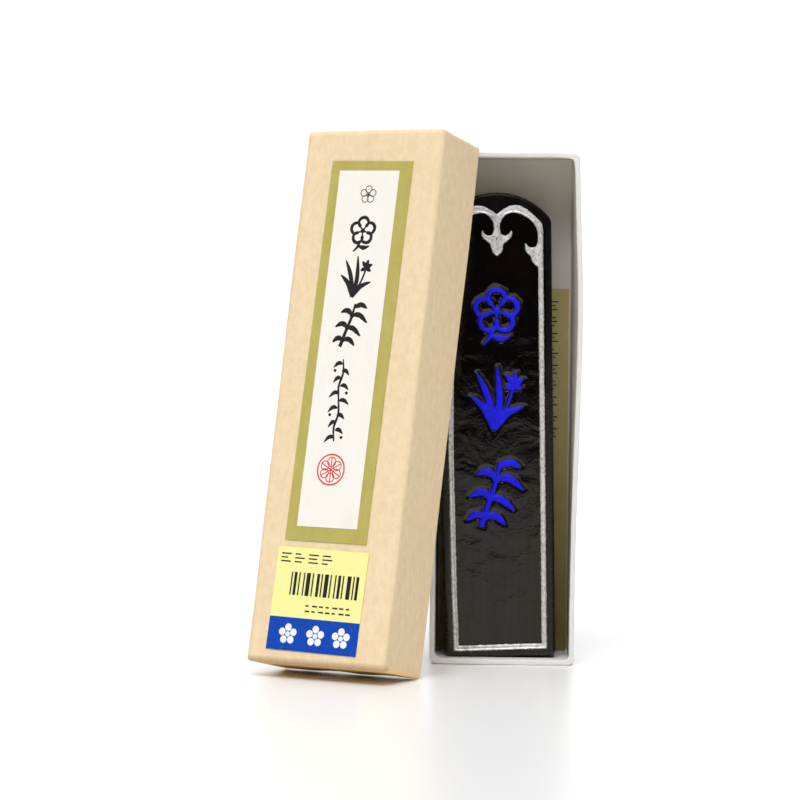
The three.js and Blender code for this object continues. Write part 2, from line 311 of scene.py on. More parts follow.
def beige_paper():
    look = Look("beige_paper", (0.84, 0.65, 0.4), 0.78, specular=0.3)
    look.mottle((0.93, 0.75, 0.51), (0.38, 0.62), 0.65, 750, (1, 1, 0.7), 4, 0.65)
    look.mottle((0.82, 0.62, 0.36), (0.45, 0.75), 0.25, 60, (1, 1, 1), 3, 0.5)
    look.mottle((0.76, 0.57, 0.34), (0.56, 0.76), 0.4, 1100, (1, 1, 0.25), 3, 0.6)
    look.mottle((0.95, 0.78, 0.55), (0.6, 0.78), 0.4, 900, (0.15, 1, 1), 3, 0.6)

    # Painted shade: the foot is tinted orange to warm the shade under the lid, and its edge with
    # the front is darkened brown for the shade along the lid's lower edge
    low = look.spread(look.axis("Z"), 0.0, 0.0013, 1.0, 0)
    front = shell_frame("lid")[1].y / 2 * MM
    edge = (front - 0.003, front - 0.0014)
    painted_foot_shade = look.spread(look.axis("Y"), *edge, 1, 0)
    look.tint(look.times(low, painted_foot_shade), (0.97, 0.66, 0.3))
    # Brown painted shade along the front edge of the foot
    painted_edge_shade = look.spread(look.axis("Y"), *edge, 0, 0.7)
    look.tint(look.times(low, painted_edge_shade), (0.42, 0.24, 0.085))
    look.grain(1.2e-4, 0.8, 900, (1, 1, 0.5), 5, 0.65)
    look.grain(2e-5, 0.5, 3000, (1, 1, 1), 3, 0.6)
    return look.material


def white_paper():
    look = Look("white_paper", (0.815, 0.81, 0.795), 0.5, specular=0.35)
    look.mottle((0.73, 0.725, 0.705), (0.42, 0.75), 0.4, 120, (1, 1, 0.6), 4, 0.6)
    look.vary_roughness((0.3, 0.7), (0.42, 0.6), 300, (1, 1, 1), 3)
    look.grain(3e-5, 0.4, 1300, (1, 1, 0.5), 4, 0.6)
    look.grain(6e-5, 0.35, 180, (1, 1, 0.6), 3, 0.5)
    return look.material


def tray_inside_painted_shade():
    """The tray's lining, browner and darker towards its foot: painted shade deep in the tray."""
    look = Look("tray_inside_painted_shade", (0.84, 0.8, 0.72), 0.7, specular=0.25)
    # Painted shade: tinted darker brown towards the foot
    look.tint(look.spread(look.axis("Z"), 0.075, 0.008, 0, 0.8), (0.3, 0.26, 0.18))
    look.grain(3e-5, 0.4, 1300, (1, 1, 0.5), 4, 0.6)
    return look.material


def chipboard():
    look = Look("chipboard", (0.3, 0.285, 0.25), 0.95, specular=0.2)
    look.mottle((0.2, 0.185, 0.16), (0.5, 0.75), 0.6, 1500, (1, 1, 1), 4, 0.7)
    look.mottle((0.42, 0.4, 0.36), (0.6, 0.8), 0.5, 700, (1, 0.3, 1), 2, 0.6)
    look.grain(8e-5, 0.6, 1800, (1, 1, 1), 4, 0.7)
    return look.material


def stay_paper():
    look = Look("stay_paper", (0.7, 0.64, 0.5), 0.85, specular=0.3)
    look.mottle((0.6, 0.53, 0.4), (0.5, 0.75), 0.5, 800, (1, 0.2, 1), 3, 0.6)
    look.grain(3e-5, 0.5, 1600, (1, 0.4, 1), 3, 0.6)
    return look.material


def slip_paper():
    look = Look("slip_paper", (0.64, 0.51, 0.22), 0.7, specular=0.35)
    look.mottle((0.54, 0.43, 0.17), (0.4, 0.7), 0.45, 180, (1, 1, 1), 4, 0.6)
    look.mottle((0.74, 0.62, 0.32), (0.58, 0.75), 0.35, 1700, (1, 1, 0.3), 2, 0.6)
    # Painted shade: darker towards the slip's foot, deep in the tray
    look.tint(look.spread(look.axis("Z"), 0.066, 0.004, 0, 0.75), (0.2, 0.145, 0.045))
    look.grain(2e-5, 0.5, 1500, (1, 1, 0.4), 3, 0.6)
    return look.material


def gold_paper():
    look = Look("gold_paper", (0.56, 0.475, 0.115), 0.42, metallic=0.25, specular=0.5)
    look.mottle((0.68, 0.59, 0.2), (0.35, 0.7), 0.55, 350, (1, 1, 0.5), 5, 0.7)
    look.mottle((0.47, 0.4, 0.08), (0.55, 0.75), 0.5, 1500, (1, 1, 1), 3, 0.6)
    look.vary_roughness((0.3, 0.7), (0.35, 0.55), 500, (1, 1, 1), 4, 0.6)
    look.grain(3e-5, 0.5, 1400, (1, 1, 0.6), 4, 0.6)
    return look.material


def label_paper():
    look = Look("label_paper", (0.92, 0.89, 0.82), 0.75, specular=0.3)
    look.mottle((0.85, 0.83, 0.76), (0.45, 0.75), 0.4, 420, (1, 1, 0.2), 3, 0.6)
    look.mottle((0.8, 0.78, 0.71), (0.62, 0.78), 0.4, 2200, (1, 1, 0.1), 2, 0.6)
    look.grain(4e-5, 0.5, 1100, (1, 1, 0.12), 4, 0.6)
    return look.material


def sticker_paper():
    look = Look("sticker_paper", (0.96, 0.92, 0.36), 0.38, specular=0.45)
    look.mottle((0.97, 0.94, 0.43), (0.4, 0.7), 0.3, 150, (1, 1, 1), 3, 0.5)
    look.vary_roughness((0.3, 0.7), (0.3, 0.45), 700, (1, 1, 1), 3)
    look.grain(2e-5, 0.3, 600, (1, 1, 1), 3, 0.5)
    return look.material


def printing(name, color, roughness=0.6):
    """Ink on paper, thinner and paler in places."""
    look = Look(name, color, roughness, specular=0.3)
    pale = tuple(c + 0.12 * (1 - c) for c in color)
    look.mottle(pale, (0.55, 0.75), 0.6, 2500, (1, 1, 1), 4, 0.7)
    look.grain(1e-5, 0.4, 2500, (1, 1, 1), 3, 0.6)
    return look.material


def polished_ink():
    """The stick's face: near black, glossy and gently wavy, with its mould's fine upright grain."""
    look = Look("polished_ink", (0.0018, 0.0015, 0.0013), 0.045)
    look.mottle((0.0065, 0.0022, 0.0013), (0.5, 0.72), 0.6, 160, (1, 1, 0.7), 3, 0.6)
    look.shader.inputs["Specular Tint"].default_value = (1.0, 0.935, 0.83, 1.0)
    grain = look.noise(950, (1, 1, 0.05), 3, 0.6)
    look.link(look.spread(grain, 0.3, 0.7, 0.5, 0.6), look.shader.inputs["Specular IOR Level"])
    look.vary_roughness((0.3, 0.75), (0.02, 0.065), 700, (1, 1, 0.2), 4, 0.6)
    look.grain(1.3e-4, 1.0, 125, (1, 1, 1), 3, 0.5, 0.8)
    look.grain(4.8e-5, 1.0, 300, (1, 1, 1), 6, 0.7, 0.5)
    look.grain(8e-7, 1.0, 1500, (1, 1, 0.04), 2, 0.5)
    look.grain(1.6e-6, 1.0, 2400, (1, 1, 1), 3, 0.6)
    return look.material


def rough_ink():
    """The stick's edge and back as they leave the mould: the same black, grainy and less glossy."""
    look = Look("rough_ink", (0.0045, 0.004, 0.0036), 0.3, specular=0.28)
    look.shader.inputs["Specular Tint"].default_value = (1.0, 0.95, 0.87, 1.0)
    sheen = look.spread(look.axis("Z"), 0.066, 0.043, 0.12, 0.52)
    look.link(sheen, look.shader.inputs["Specular IOR Level"])
    look.mottle((0.026, 0.023, 0.02), (0.56, 0.7), 0.6, 2600, (1, 1, 1), 3, 0.7)
    look.vary_roughness((0.35, 0.7), (0.16, 0.42), 420, (1, 1, 0.4), 4, 0.6)
    look.grain(2.2e-5, 1.0, 1900, (1, 1, 1), 4, 0.65)
    look.grain(2.2e-5, 1.0, 330, (1, 1, 0.5), 4, 0.6)
    return look.material


def shaded_recess_ink():
    """Painted shade: the mould's walls that face up round each stroke, dull black with almost no
    gloss, so they show as dark lines below the strokes.
    """
    look = Look("shaded_recess_ink", (0.003, 0.0028, 0.0025), 0.7, specular=0.04)
    look.mottle((0.012, 0.011, 0.01), (0.6, 0.75), 0.5, 2600, (1, 1, 1), 3, 0.7)
    return look.material


def silver_paint():
    look = Look("silver_paint", (0.86, 0.86, 0.855), 0.34, metallic=0.5)
    look.mottle((0.55, 0.55, 0.545), (0.45, 0.6), 0.85, 1900, (1, 1, 1), 4, 0.7)
    look.mottle((0.09, 0.09, 0.088), (0.61, 0.67), 0.9, 900, (1, 1, 1), 4, 0.85)
    look.vary_roughness((0.3, 0.7), (0.3, 0.52), 1400, (1, 1, 1), 3)
    look.grain(7e-5, 0.9, 2200, (1, 1, 1), 4, 0.7)
    return look.material


def blue_paint():
    look = Look("blue_paint", (0.008, 0.008, 0.86), 0.5, specular=0.25)
    look.mottle((0.006, 0.004, 0.6), (0.4, 0.68), 0.75, 480, (1, 1, 1), 4, 0.6)
    look.mottle((0.004, 0.003, 0.3), (0.64, 0.78), 0.6, 1700, (1, 1, 1), 3, 0.7)
    look.grain(3e-5, 0.6, 1500, (1, 1, 1), 3, 0.6)
    return look.material


# ---- Cover-paper shells of the boxes -----------------------------------------------------------
# A shell's own frame, in millimetres: X across, Z up from the lower end, the rim at -Y and the base
# at +Y, with the origin at the middle of the lower end.

def shell_frame(prefix):
    place, size = own_frame(f"{prefix}_base_cover")
    inverse = place.inverted()
    along = [(inverse @ v.co).y for v in nodes[f"{prefix}_left_cover"].data.vertices]
    low, high = min(min(along), 0.0), max(max(along), size.y)
    place = place @ Matrix.Translation((size.x / 2, (low + high) / 2, 0))
    if max(along) > -min(along):
        place = place @ Matrix.Rotation(math.pi, 4, "Z")
    return place, Vector((size.x, high - low, size.z)) / MM


def side_points(start, end, first, last, steps):
    """Places along a straight side between two rounded corners, closer together at its ends."""
    a, b = start + first, end - last
    guard = 0.25
    middle = [a + guard + (b - a - 2 * guard) * i / steps for i in range(steps + 1)]
    return [a, *middle, b]


def loop_points(half_w, half_h, radii, steps_w=12, steps_h=44, corner=6):
    """A rounded rectangle, anticlockwise from the lower left, with a fixed number of points.

    The radii are those of the lower right, upper right, upper left and lower left corners."""
    lower_right, upper_right, upper_left, lower_left = radii
    foot = [(x, -half_h) for x in side_points(-half_w, half_w, lower_left, lower_right, steps_w)]
    right = [(half_w, z) for z in side_points(-half_h, half_h, lower_right, upper_right, steps_h)]
    top = [(x, half_h) for x in side_points(-half_w, half_w, upper_left, upper_right, steps_w)]
    left = [(-half_w, z) for z in side_points(-half_h, half_h, lower_left, upper_left, steps_h)]
    points = []
    for k, (side, radius) in enumerate(zip((foot, right, top[::-1], left[::-1]), radii)):
        points += side
        x = (half_w - radius) * (1, 1, -1, -1)[k]
        z = (half_h - radius) * (-1, 1, 1, -1)[k]
        for i in range(1, corner):
            turn = math.radians(90 * (k - 1) + 90 * i / corner)
            points.append((x + radius * math.cos(turn), z + radius * math.sin(turn)))
    return points


def shell_rings(width, depth, edge):
    """(inset, y) of each ring, from the base's outside over the rim to the base's inside."""
    rim, base = -depth / 2, depth / 2
    rings = [(t, base) for t in (width * 0.44, width * 0.3, width * 0.16, edge + 1.0, edge + 0.2)]
    for i in range(7):
        turn = math.radians(90 * i / 6)
        rings.append((edge * (1 - math.sin(turn)), base - edge * (1 - math.cos(turn))))
    high, low = base - edge - 0.2, rim + RIM_EDGE + 0.2
    rings += [(0.0, high + (low - high) * i / 8) for i in range(9)]
    for i in range(6):
        turn = math.radians(90 * i / 5)
        rings.append((RIM_EDGE * (1 - math.cos(turn)), rim + RIM_EDGE * (1 - math.sin(turn))))
    for i in range(6):
        turn = math.radians(90 * i / 5)
        rings.append((WALL - RIM_EDGE * (1 - math.sin(turn)),
                      rim + RIM_EDGE * (1 - math.cos(turn))))
    floor = base - WALL
    rings += [(WALL, low + (floor - 0.3 - low) * i / 8) for i in range(9)]
    rings += [(WALL + 0.05, floor - 0.05), (WALL + 0.3, floor), (WALL + 1.0, floor)]
    rings += [(t, floor) for t in (width * 0.16, width * 0.3, width * 0.44)]
    return rings


def corner_radii(box, y, inside=False):
    """Radii of the four corners at a depth y, wider near the rim, where the paper is folded in."""
    fade = math.exp(-(y + box["depth"] / 2) / GUSSET_DEPTH)
    plain = INNER_FILLET if inside else box["turn"]
    return [plain + max(folded - plain, 0) * fade for folded in box["corners"]]


def box_shell(name, prefix, body, materials, edge, turn, corners, deform):
    """The cover paper as one closed skin, and the boards and stays that it hides, bent with it."""
    place, (width, depth, height) = shell_frame(prefix)
    box = {"width": width, "depth": depth, "height": height, "edge": edge, "turn": turn,
           "corners": corners}
    verts, faces = [], []
    for inset, y in shell_rings(width, depth, edge):
        half_w, half_h = width / 2 - inset, height / 2 - inset
        radii = [min(r, half_w * 0.9) for r in corner_radii(box, y, inset >= WALL)]
        for x, z in loop_points(half_w, half_h, radii):
            spot = Vector((x, y, z + height / 2))
            verts.append((spot + deform(spot, box)) * MM)
    per = len(loop_points(10, 20, (1, 1, 1, 1)))
    count = len(verts) // per
    for r in range(count - 1):
        for i in range(per):
            j = (i + 1) % per
            faces.append((r * per + i, r * per + j, (r + 1) * per + j, (r + 1) * per + i))
    faces.append(tuple(reversed(range(per))))
    faces.append(tuple(range((count - 1) * per, count * per)))
    shell = new_object(name, mesh_from(name, verts, faces), body, materials[0], place)
    shell.data.materials.append(materials[1])
    # Faces deep inside the shell take the second material, which in the tray carries painted shade
    for face in shell.data.polygons:
        spot = face.center / MM
        across = abs(spot.x) < width / 2 - WALL * 0.6
        along = WALL * 1.6 < spot.z < height - WALL * 0.6
        deep = 0.1 - depth / 2 < spot.y < depth / 2 - WALL * 0.6
        face.material_index = int(across and along and deep)
    covers = [f"{prefix}_{side}_cover" for side in ("left", "right", "foot", "top", "base")]
    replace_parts(shell, *covers, f"{prefix}_base_liner")
    for node in sorted(nodes.keys()):
        if node.startswith(prefix) and node.endswith("_board"):
            bent_card(node, place, box, deform, body, "chipboard")
        if node.startswith(f"{prefix}_stay"):
            bent_card(node, place, box, deform, body, "stay_paper")


def pulled_in(a, b, radius):
    """Distances from two outer faces, once the edge between them is rounded to this radius."""
    if a >= radius or b >= radius:
        return a, b
    squash = max(radius - a, radius - b) / math.hypot(radius - a, radius - b)
    return radius - (radius - a) * squash, radius - (radius - b) * squash


def bent_card(node, place, box, deform, body, slot):
    """A board or stay from the CAD, cut small and bent to lie inside the rounded skin."""
    mesh = nodes[node].data.copy()
    mesh.name = f"{node}_bent"
    mesh.transform(place.inverted())
    work = bmesh.new()
    work.from_mesh(mesh)
    bmesh.ops.remove_doubles(work, verts=work.verts, dist=SAME_SPOT)
    cuts = [((0, 0, box["height"] * k / 16), (0, 0, 1)) for k in range(1, 16)]
    cuts += [((box["width"] * (k / 8 - 0.5), 0, 0), (1, 0, 0)) for k in range(1, 8)]
    cuts += [((0, box["depth"] * (k / 4 - 0.5), 0), (0, 1, 0)) for k in range(1, 4)]
    for spot, normal in cuts:
        bmesh.ops.bisect_plane(work, geom=[*work.verts, *work.edges, *work.faces],
                               plane_co=Vector(spot) * MM, plane_no=normal)
    for vert in work.verts:
        spot = vert.co / MM
        upper = spot.z > box["height"] / 2
        lower_right, upper_right, upper_left, lower_left = corner_radii(box, spot.y)
        if spot.x > 0:
            radius = upper_right if upper else lower_right
        else:
            radius = upper_left if upper else lower_left
        side = box["width"] / 2 - abs(spot.x)
        end = min(spot.z, box["height"] - spot.z)
        back = box["depth"] / 2 - spot.y
        # What is pulled in by a rounded edge still stays between the skin's two sides
        limits = [WALL - BOARD_COVER if gap < WALL else gap + WALL for gap in (side, end, back)]
        side, end = pulled_in(side, end, radius)
        side, back = pulled_in(side, back, box["edge"])
        end, back = pulled_in(end, back, box["edge"])
        side, end, back = (min(gap, limit) for gap, limit in zip((side, end, back), limits))
        spot = Vector((math.copysign(box["width"] / 2 - side, spot.x), box["depth"] / 2 - back,
                       box["height"] - end if upper else end))
        vert.co = (spot + deform(spot, box)) * MM
    work.to_mesh(mesh)
    work.free()
    card = new_object(f"{node}_bent", mesh, body, papers[slot], place)
    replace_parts(card, node)


def wander(spot, amount, scale, seed):
    """A small smooth offset, as hand-folded card has."""
    at = spot * scale + Vector((seed, 2 * seed, 3 * seed))
    return Vector(noise.noise_vector(at)) * amount


def clamp(value):
    return min(max(value, 0.0), 1.0)


def hump(z, height, amount, share, spread):
    return amount * math.exp(-((z - share * height) / spread) ** 2)


def tray_deform(spot, box):
    """Bows the tray's side walls out at the rim, and crumples its upper right corner."""
    width, depth, height = box["width"], box["depth"], box["height"]
    free = (depth / 2 - spot.y) / depth
    move = wander(spot, TRAY_WANDER, 0.055, 3.1) * free
    in_right = clamp((2 * spot.x / width - 0.8) / 0.1)
    in_left = clamp((-2 * spot.x / width - 0.8) / 0.1)
    move.x += hump(spot.z, height, *RIGHT_BULGE) * free * in_right
    move.x -= hump(spot.z, height, *LEFT_BULGE) * free * in_left
    if spot.z < 2:
        move.z = max(move.z, 0.0)
    apart = (spot.x - width / 2) ** 2 + (spot.z - height) ** 2
    near = math.exp(-apart / CORNER_REACH) * free ** 3
    fold = wander(spot, 0.5, 0.9, 5.5)
    crumple = Vector((min(fold.x, 0.2), abs(fold.y), -abs(fold.z)))
    return move + (CORNER_DENT + crumple) * near


def lid_deform(spot, box):
    """Raises the lid's top towards its front, waves its foot, and keeps it behind its labels."""
    free = (box["depth"] / 2 - spot.y) / box["depth"]
    across = spot.x / box["width"]
    move = wander(spot, LID_WANDER, 0.045, 8.7) + Vector((0, 0, LID_LIFT))
    if spot.y > box["depth"] / 2 - 0.5:
        move.y = -0.02 - abs(move.y)
    if spot.z > box["height"] - 3:
        move.z += (LID_TOP_RISE - LID_TOP_SLOPE * across) * (1 - free)
    if spot.z < 3:
        wave = 0.5 - 0.5 * math.cos(2 * math.pi * (2.5 * across + 0.25))
        move.z = abs(move.z) * 0.3 + LID_FOOT_WAVE * wave * free ** 3 * (1 - (2 * across) ** 4)
    return move


# ---- Strokes and prints ------------------------------------------------------------------------

def stroke(points, widths, steps=16):
    """Outline of a brush stroke through points, its breadth given at even steps, in millimetres."""
    spine = [Vector(p) for p in points]
    spine = [2 * spine[0] - spine[1], *spine, 2 * spine[-1] - spine[-2]]
    left, right = [], []
    for i in range(steps + 1):
        t = i / steps
        at = t * (len(points) - 1)
        k = min(int(at), len(points) - 2)
        u = at - k
        p0, p1, p2, p3 = spine[k:k + 4]
        spot = 0.5 * ((2 * p1) + (p2 - p0) * u + (2 * p0 - 5 * p1 + 4 * p2 - p3) * u * u
                      + (3 * p1 - p0 - 3 * p2 + p3) * u ** 3)
        along = 0.5 * ((p2 - p0) + 2 * (2 * p0 - 5 * p1 + 4 * p2 - p3) * u
                       + 3 * (3 * p1 - p0 - 3 * p2 + p3) * u * u)
        side = Vector((-along.y, along.x)).normalized()
        where = t * (len(widths) - 1)
        w = min(int(where), len(widths) - 2)
        half = (widths[w] + (widths[w + 1] - widths[w]) * (where - w)) / 2
        left.append(spot + side * half)
        right.append(spot - side * half)
    return right + left[::-1]


def polar(x, z, radius, aim):
    return Vector((x + radius * math.cos(aim), z + radius * math.sin(aim)))


def ring(x, z, radius, breadth, steps=40):
    """A circle's outline as two half strokes."""
    halves = []
    for begin in (0, 180):
        arc = [polar(x, z, radius, math.radians(begin + 180 * i / 8)) for i in range(9)]
        halves.append(stroke(arc, [breadth, breadth], steps // 2))
    return halves


def disc(x, z, radius, steps=20):
    return [polar(x, z, radius, 2 * math.pi * i / steps) for i in range(steps)]


def block(x0, z0, x1, z1):
    return [Vector((x0, z0)), Vector((x1, z0)), Vector((x1, z1)), Vector((x0, z1))]


def rosette(x, z, radius):
    """A plain five-petalled flower."""
    shapes = [disc(x, z, radius * 0.24)]
    for k in range(5):
        aim = math.pi / 2 + 2 * math.pi * k / 5
        shapes.append(disc(*polar(x, z, radius * 0.62, aim), radius * 0.34))
    return shapes


def outline_flower(x, z, radius):
    """Five thin petal loops round a dot."""
    shapes = [disc(x, z, radius * 0.16)]
    for k in range(5):
        aim = math.pi / 2 + 2 * math.pi * k / 5
        shapes += ring(*polar(x, z, 0.6 * radius, aim), radius * 0.38, 0.16)
    return shapes


def vine(x, top, foot):
    """A hanging stem with small leaves on alternate sides."""
    bends = [(x + 0.35 * math.sin(2.1 * i), top + (foot - top) * i / 6) for i in range(7)]
    shapes = [stroke(bends, [0.25, 0.5, 0.35, 0.5, 0.3], 40)]
    for i in range(11):
        z = top - 0.9 - (top - foot - 1.6) * i / 10
        side = 1 if i % 2 else -1
        long = 1.9 + 0.35 * math.sin(5.3 * i)
        tip = (x + side * long, z - 0.75 + 0.4 * math.sin(3.1 * i))
        middle = (x + side * long * 0.5, z + 0.12)
        shapes.append(stroke([(x, z), middle, tip], [0.25, 0.85, 0.7, 0.15], 10))
        if i % 3 == 1:
            shapes.append(disc(x - side * 1.5, z + 0.1, 0.3))
    return shapes


def seal(x, z, radius):
    """A ring round a six-petalled lattice."""
    shapes = ring(x, z, radius, 0.3, 60)
    for k in range(6):
        aim = math.pi / 6 + math.pi * k / 3
        shapes.append(stroke([(x, z), polar(x, z, 0.84 * radius, aim)], [0.22, 0.22], 2))
        shapes += ring(*polar(x, z, 0.52 * radius, aim), radius * 0.3, 0.2)
    return shapes


def sticker_marks():
    """Rows of plain bars where a price sticker has its print."""
    shapes = []
    for k, column in enumerate(TEXT_ROWS):
        left = 0.8 + 2.95 * k
        for row, long in enumerate(column):
            low = 16.35 + 0.72 * row
            shapes.append(block(left, low, left + long, low + 0.26))
    left = 3.5
    for width, gap in zip(BAR_WIDTHS, BAR_GAPS):
        shapes.append(block(left, 10.3, left + width * 0.85, 14.6))
        left += width * 0.85 + gap
    for k in range(7):
        left = 7.3 + 1.45 * k
        shapes.append(block(left, 7.35, left + (1.0, 0.7, 1.1)[k % 3], 7.65))
        shapes.append(block(left, 8.35, left + (0.7, 1.1, 0.9)[k % 3], 8.65))
    return shapes


def slip_marks():
    """A column of plain ticks down the slip's right side."""
    shapes = []
    for k in range(9):
        top = 68.4 - 3.1 * k
        for row in range(3):
            long = (1.5, 1.0, 1.3, 0.8)[(k + row) % 4]
            shapes.append(block(21.25, top - 0.75 * row - 0.24, 21.25 + long, top - 0.75 * row))
    return shapes


def print_on(node, name, outlines, material, layer=0):
    """Lays thin printed shapes, in millimetres from the lower left corner, on a label's front."""
    place, _ = own_frame(node)
    front = -(PRINT_LIFT + layer * (PRINT_THICK + PRINT_LIFT))
    verts, faces = [], []
    for outline in outlines:
        n, first = len(outline), len(verts)
        verts += [Vector((p.x, front, p.y)) * MM for p in outline]
        verts += [Vector((p.x, front - PRINT_THICK, p.y)) * MM for p in outline]
        faces.append(tuple(range(first, first + n)))
        faces.append(tuple(range(first + 2 * n - 1, first + n - 1, -1)))
        for i in range(n):
            j = (i + 1) % n
            faces.append((first + i, first + j, first + n + j, first + n + i))
    body = nodes[node]["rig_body"]
    new_object(name, mesh_from(name, verts, faces, smooth=False), body, material, place)


def printed_motif(inlay, name, centre, scale, material):
    """One of the stick's motifs again, as a flat black print on the label strip."""
    place, _ = own_frame("label_strip")
    into_stick = stick_place().inverted()
    spots = [into_stick @ v.co for v in nodes[inlay].data.vertices]
    low = Vector(np.min(spots, axis=0))
    high = Vector(np.max(spots, axis=0))
    middle = (low + high) / 2
    mesh = nodes[inlay].data.copy()
    mesh.name = name
    for vert, spot in zip(mesh.vertices, spots):
        deep = spot.y > middle.y
        vert.co = Vector((centre[0] * MM + (spot.x - middle.x) * scale,
                          -(PRINT_LIFT if deep else PRINT_LIFT + PRINT_THICK) * MM,
                          centre[1] * MM + (spot.z - middle.z) * scale))
    mesh.polygons.foreach_set("use_smooth", [False] * len(mesh.polygons))
    new_object(name, mesh, "lid", material, place)


# ---- Ink stick ---------------------------------------------------------------------------------

def stick_place():
    """The stick's own frame: origin at the middle of its lower front edge, Y into the stick."""
    place, size = own_frame("ink_body")
    return place @ Matrix.Translation((size.x / 2, 0, 0))


def remeshed(node, name, voxel, reshape, rounds):
    """A fine, softened copy of a CAD node's mesh, in the stick's own frame."""
    inverse = stick_place().inverted()
    mesh = nodes[node].data.copy()
    mesh.transform(inverse)
    for vert in mesh.vertices:
        vert.co = reshape(vert.co / MM) * MM
    work = bmesh.new()
    work.from_mesh(mesh)
    bmesh.ops.remove_doubles(work, verts=work.verts, dist=SAME_SPOT)
    work.to_mesh(mesh)
    work.free()
    source = bpy.data.objects.new(name + "_source", mesh)
    bpy.context.scene.collection.objects.link(source)
    remesh = source.modifiers.new("remesh", "REMESH")
    remesh.mode = "VOXEL"
    remesh.voxel_size = voxel * MM
    smooth = source.modifiers.new("smooth", "SMOOTH")
    smooth.factor = 0.5
    smooth.iterations = rounds
    bpy.context.view_layer.update()
    shown = source.evaluated_get(bpy.context.evaluated_depsgraph_get())
    fine = bpy.data.meshes.new_from_object(shown)
    fine.name = name
    bpy.data.objects.remove(source)
    return fine


def get_points(mesh):
    points = np.empty(len(mesh.vertices) * 3)
    mesh.vertices.foreach_get("co", points)
    return points.reshape(-1, 3) / MM


def set_points(mesh, points):
    mesh.vertices.foreach_set("co", (points * MM).ravel())
    mesh.polygons.foreach_set("use_smooth", [True] * len(mesh.polygons))
    mesh.update()


def jitter(points, amount, scale, seed):
    """Smooth pseudo-random offsets in the face's plane, for hand-laid paint edges."""
    moves = np.zeros_like(points)
    for i, point in enumerate(points):
        pull = noise.noise_vector(Vector(point) * scale + Vector((seed, seed, seed)))
        moves[i, 0], moves[i, 2] = pull.x, pull.z
    return points + moves * amount


def outline_tree(names):
    """Close-set places on the outlines of thin CAD pieces, for distances in the face's plane."""
    inverse = stick_place().inverted()
    spots = []
    for name in names:
        work = bmesh.new()
        work.from_mesh(nodes[name].data)
        work.transform(inverse)
        work.normal_update()
        bmesh.ops.remove_doubles(work, verts=work.verts, dist=SAME_SPOT)
        for edge in work.edges:
            if len(edge.link_faces) != 2:
                continue
            facing = sorted(face.normal.y for face in edge.link_faces)
            if facing[0] < -0.9 and facing[1] > -0.5:
                start, end = (v.co / MM for v in edge.verts)
                steps = max(1, int((end - start).length / 0.06))
                spots += [start.lerp(end, i / steps) for i in range(steps + 1)]
        work.free()
    tree = KDTree(len(spots))
    for i, spot in enumerate(spots):
        tree.insert((spot.x, 0, spot.z), i)
    tree.balance()
    return tree


def reach(tree, point):
    """Distance of a point from the outlines, in the face's plane, in millimetres."""
    return tree.find((point[0], 0, point[2]))[2]


def side_slope(tree, point):
    """Distance from a stroke and breadth of the slope: wide above and right of it, else steep."""
    spot, _, distance = tree.find((point[0], 0, point[2]))
    if distance < 0.02:
        return distance, RECESS_STEEP
    aim = (0.45 * (point[0] - spot[0]) + 0.9 * (point[2] - spot[2])) / distance
    blotch = 0.7 + 0.6 * noise.noise(Vector((point[0], 0, point[2])) * 0.8)
    return distance, RECESS_STEEP + (RECESS_SLOPE * blotch - RECESS_STEEP) * ramp(aim, -0.1, 0.8)


def ramp(value, low, high):
    t = clamp((value - low) / (high - low))
    return t * t * (3 - 2 * t)


def sink_round(points, tree):
    """Slopes the polished face down to the edge of each inlay, as the mould leaves it."""
    for point in points:
        if -0.01 <= point[1] < RECESS_EDGE:
            distance, breadth = side_slope(tree, point)
            depth = RECESS_EDGE * (1 - ramp(distance, 0.05, breadth))
            point[1] = max(point[1], depth)


def ridge(points, tree):
    """Gives the silver line its cross-section: raised along both edges, lower in between."""
    for point in points:
        if point[1] < 0:
            s = reach(tree, point)
            point[1] = -RIDGE_HEIGHT * ramp(s, 0.0, 0.16) * (1 - RIDGE_DIP * ramp(s, 0.2, 0.45))


def pillow(points, tree):
    """Rounds an inlay's top, highest in the middle of each stroke."""
    for point in points:
        if point[1] < RECESS_EDGE + 0.1:
            rise = ramp(reach(tree, point), -0.1, 0.55)
            point[1] = RECESS_EDGE + 0.1 - (INLAY_SWELL + 0.1) * rise


def side_bow(points):
    """How far the stick's left side bows outward, as moves along X."""
    left = 1 / (1 + np.exp((points[:, 0] + 6.3) / 0.35))
    out = np.interp(points[:, 2], BOW_HEIGHTS, BOW_AMOUNTS) * left
    return np.stack([-out, 0 * out, 0 * out], axis=1)


def foot_tilt(points):
    """How far the foot of the silver line lies off level, as moves along Z."""
    foot = 1 / (1 + np.exp((points[:, 2] - 12) / 1.5))
    rise = (FOOT_TILT * (points[:, 0] + 8.85) - FOOT_DROP) * foot
    return np.stack([0 * rise, 0 * rise, rise], axis=1)


def in_field(centres):
    """True on the front, inside the middle of the silver line."""
    inverse = stick_place().inverted()
    spots = np.array([inverse @ v.co for v in nodes["silver_border"].data.vertices]) / MM
    side = np.abs(spots[:, 0]).max() - 0.5
    foot = spots[:, 2].min() + 0.5
    columns = np.linspace(-side, side, 60)
    tops = [spots[np.abs(spots[:, 0] - x) < 0.5, 2].max() for x in columns]
    head = np.interp(centres[:, 0], columns, tops) - 0.6
    within = (np.abs(centres[:, 0]) < side) & (centres[:, 2] > foot)
    return within & (centres[:, 2] < head) & (centres[:, 1] < 2.0)


